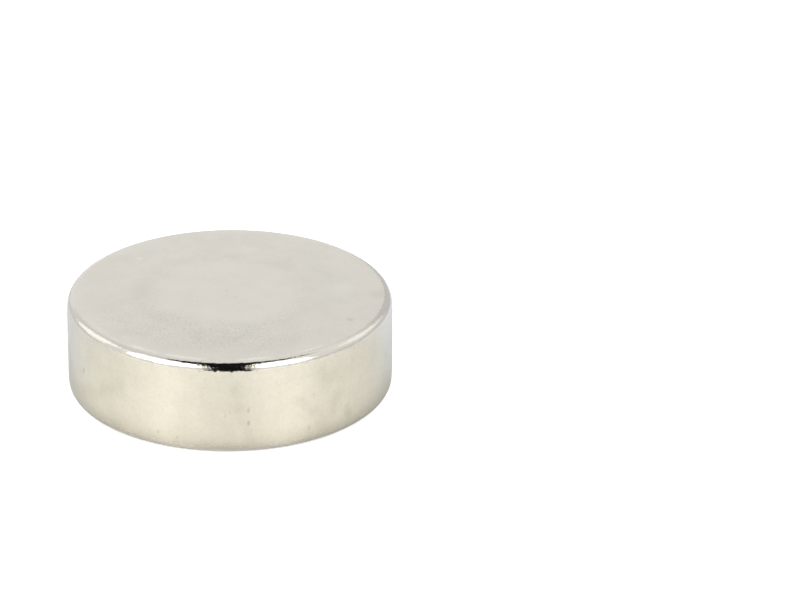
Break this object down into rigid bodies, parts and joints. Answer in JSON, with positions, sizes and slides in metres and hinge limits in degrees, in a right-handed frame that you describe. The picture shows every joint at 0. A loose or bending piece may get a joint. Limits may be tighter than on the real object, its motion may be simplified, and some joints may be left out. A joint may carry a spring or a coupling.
{
  "type": "disc magnet",
  "caption": "Plain round disc magnet with rounded edges and satin nickel plate, which holds to steel by either flat face or sits in a round pocket.",
  "frame": {"origin": "centre of the lower pole face, which the magnet lies on", "axes": "+Z along the magnet's own axis, from the lower pole face to the upper one; X and Y are equal because the disc is round"},
  "size_m": [0.02, 0.02, 0.006],
  "materials": {
    "nickel_plate": "bright nickel plate, satin on the pole faces and mirror-bright on the rounded edges"
  },
  "bodies": {
    "root": {"magnet_disc": "nickel_plate"}
  },
  "joints": []
}
